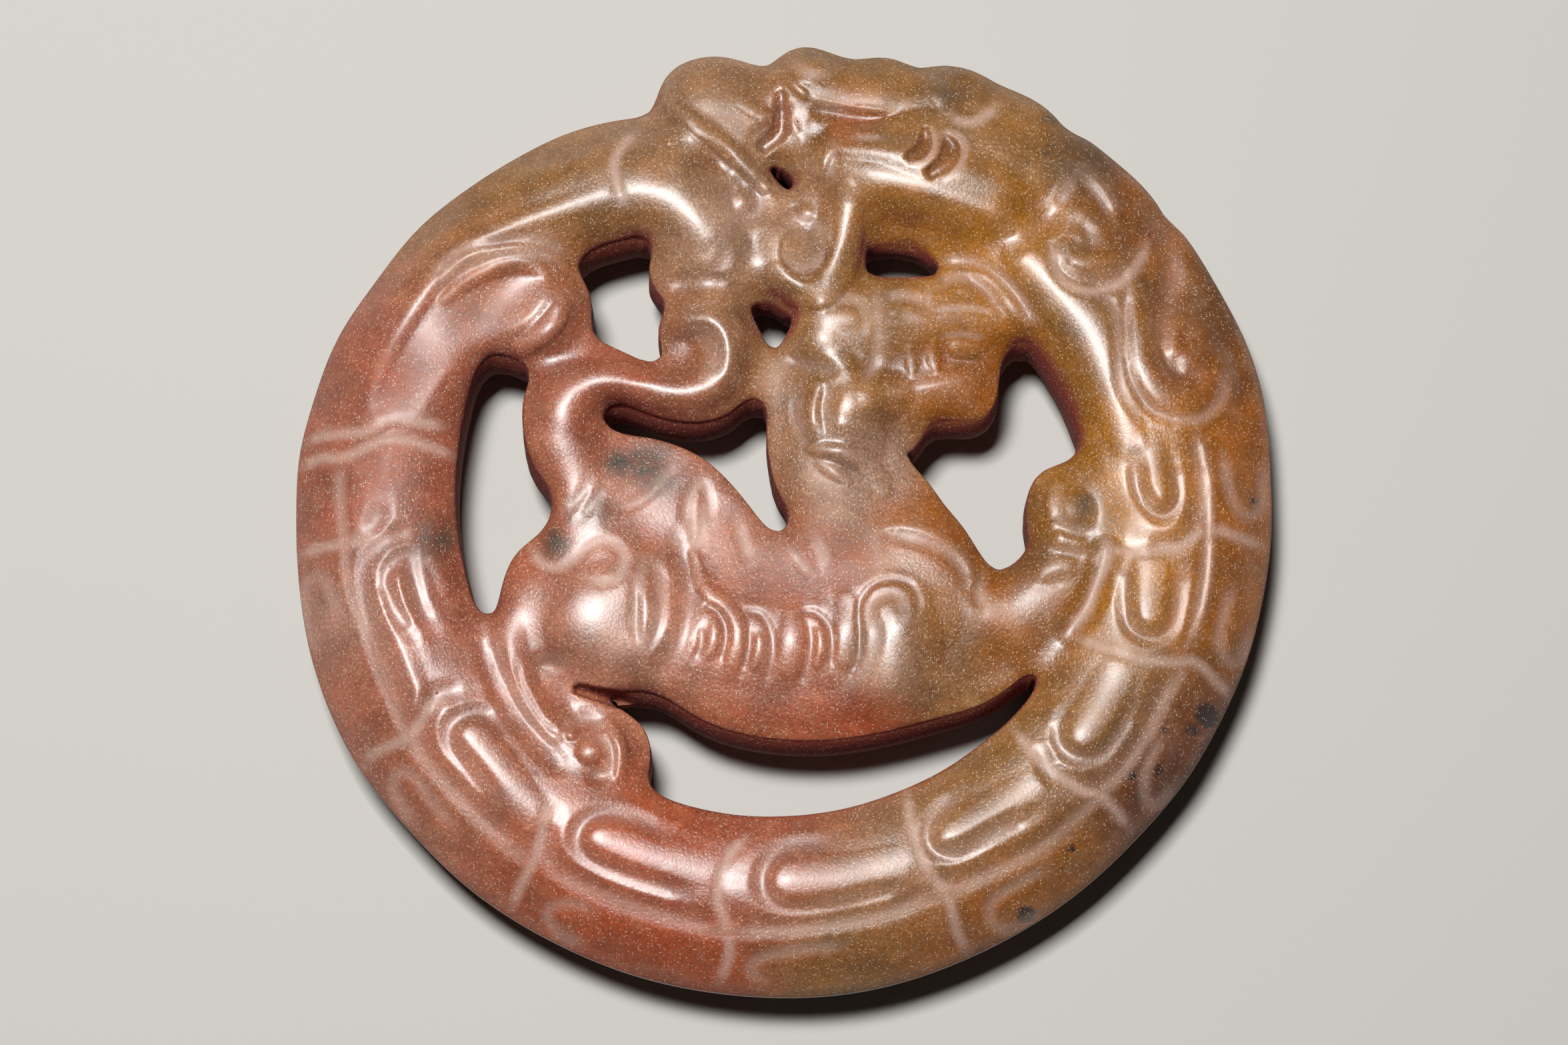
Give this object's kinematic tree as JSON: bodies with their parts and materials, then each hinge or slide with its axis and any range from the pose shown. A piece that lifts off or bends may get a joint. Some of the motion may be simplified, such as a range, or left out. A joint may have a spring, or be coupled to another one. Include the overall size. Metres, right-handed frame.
{
  "type": "carved jade pendant",
  "caption": "Pierced disc pendant carved from one piece of russet jade: a dragon curled round the rim and a tiger standing inside it, with a cord hole at the top.",
  "frame": {"origin": "middle of the pendant's box, on the surface that its back lies on", "axes": "+X to the wearer's left as the carved front is seen (right in the picture), +Y up through the cord hole's side, +Z out of the carved front"},
  "size_m": [0.06, 0.0594, 0.0091],
  "materials": {
    "jade": "satin"
  },
  "bodies": {
    "root": {"carved_stone": "jade"}
  },
  "joints": []
}
